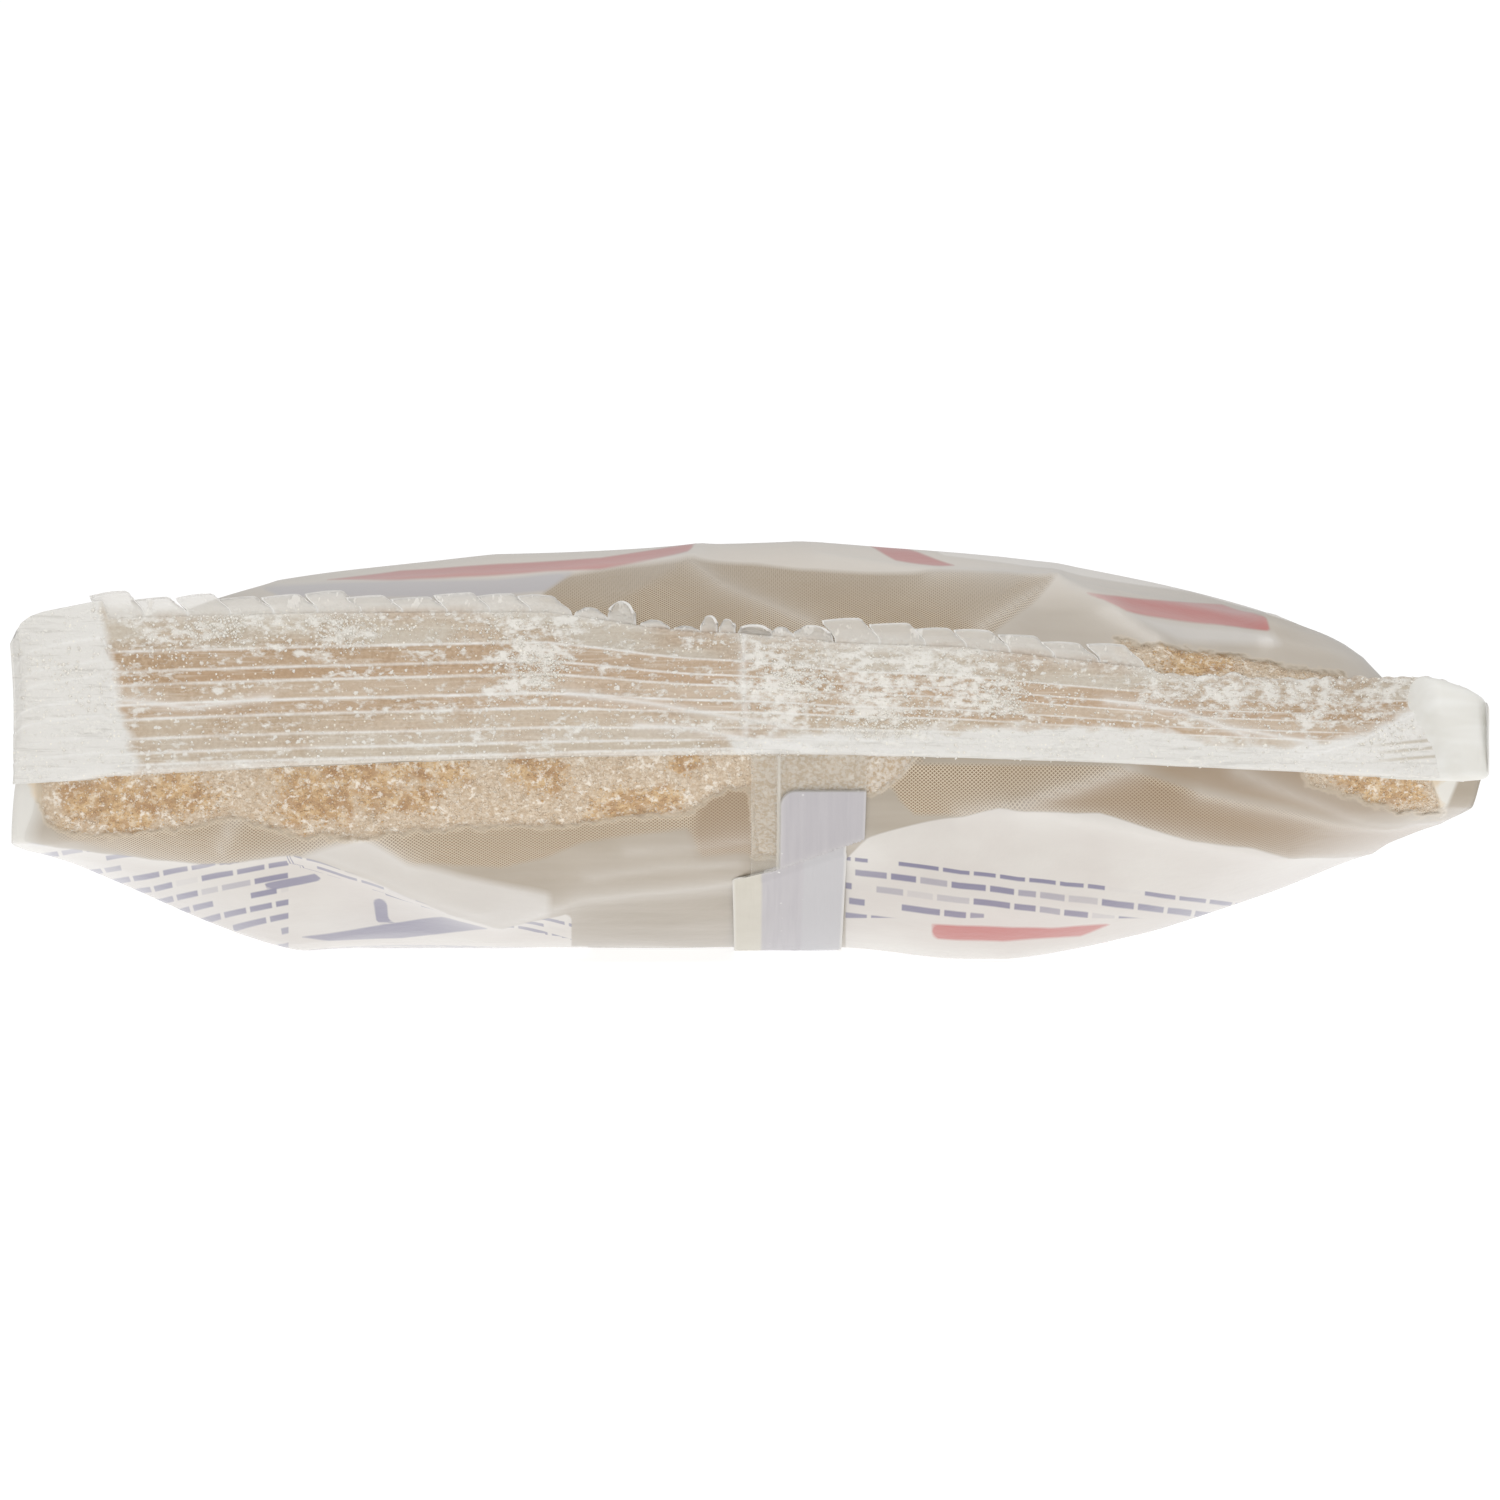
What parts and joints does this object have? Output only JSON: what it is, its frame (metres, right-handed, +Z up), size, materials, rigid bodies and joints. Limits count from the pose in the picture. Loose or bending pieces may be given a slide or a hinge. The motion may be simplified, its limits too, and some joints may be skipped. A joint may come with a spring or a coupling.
{
  "type": "breadcrumb bag",
  "caption": "Full see-through pillow bag of fine breadcrumbs, lying on its back, with crimped end seals folded up and a lap seam along the back.",
  "frame": {"origin": "under the middle of the bag, on the surface it lies on", "axes": "+Z up, +X across the bag, +Y along it away from the near seal"},
  "size_m": [0.1508, 0.212, 0.0441],
  "materials": {
    "film": "thin see-through film, printed, slightly glossy",
    "seal": "crimped film, milky, dusted with fine crumbs",
    "crumbs": "dry toasted breadcrumbs, matte and granular"
  },
  "bodies": {
    "root": {"breadcrumb_bag": "film"}
  },
  "joints": []
}
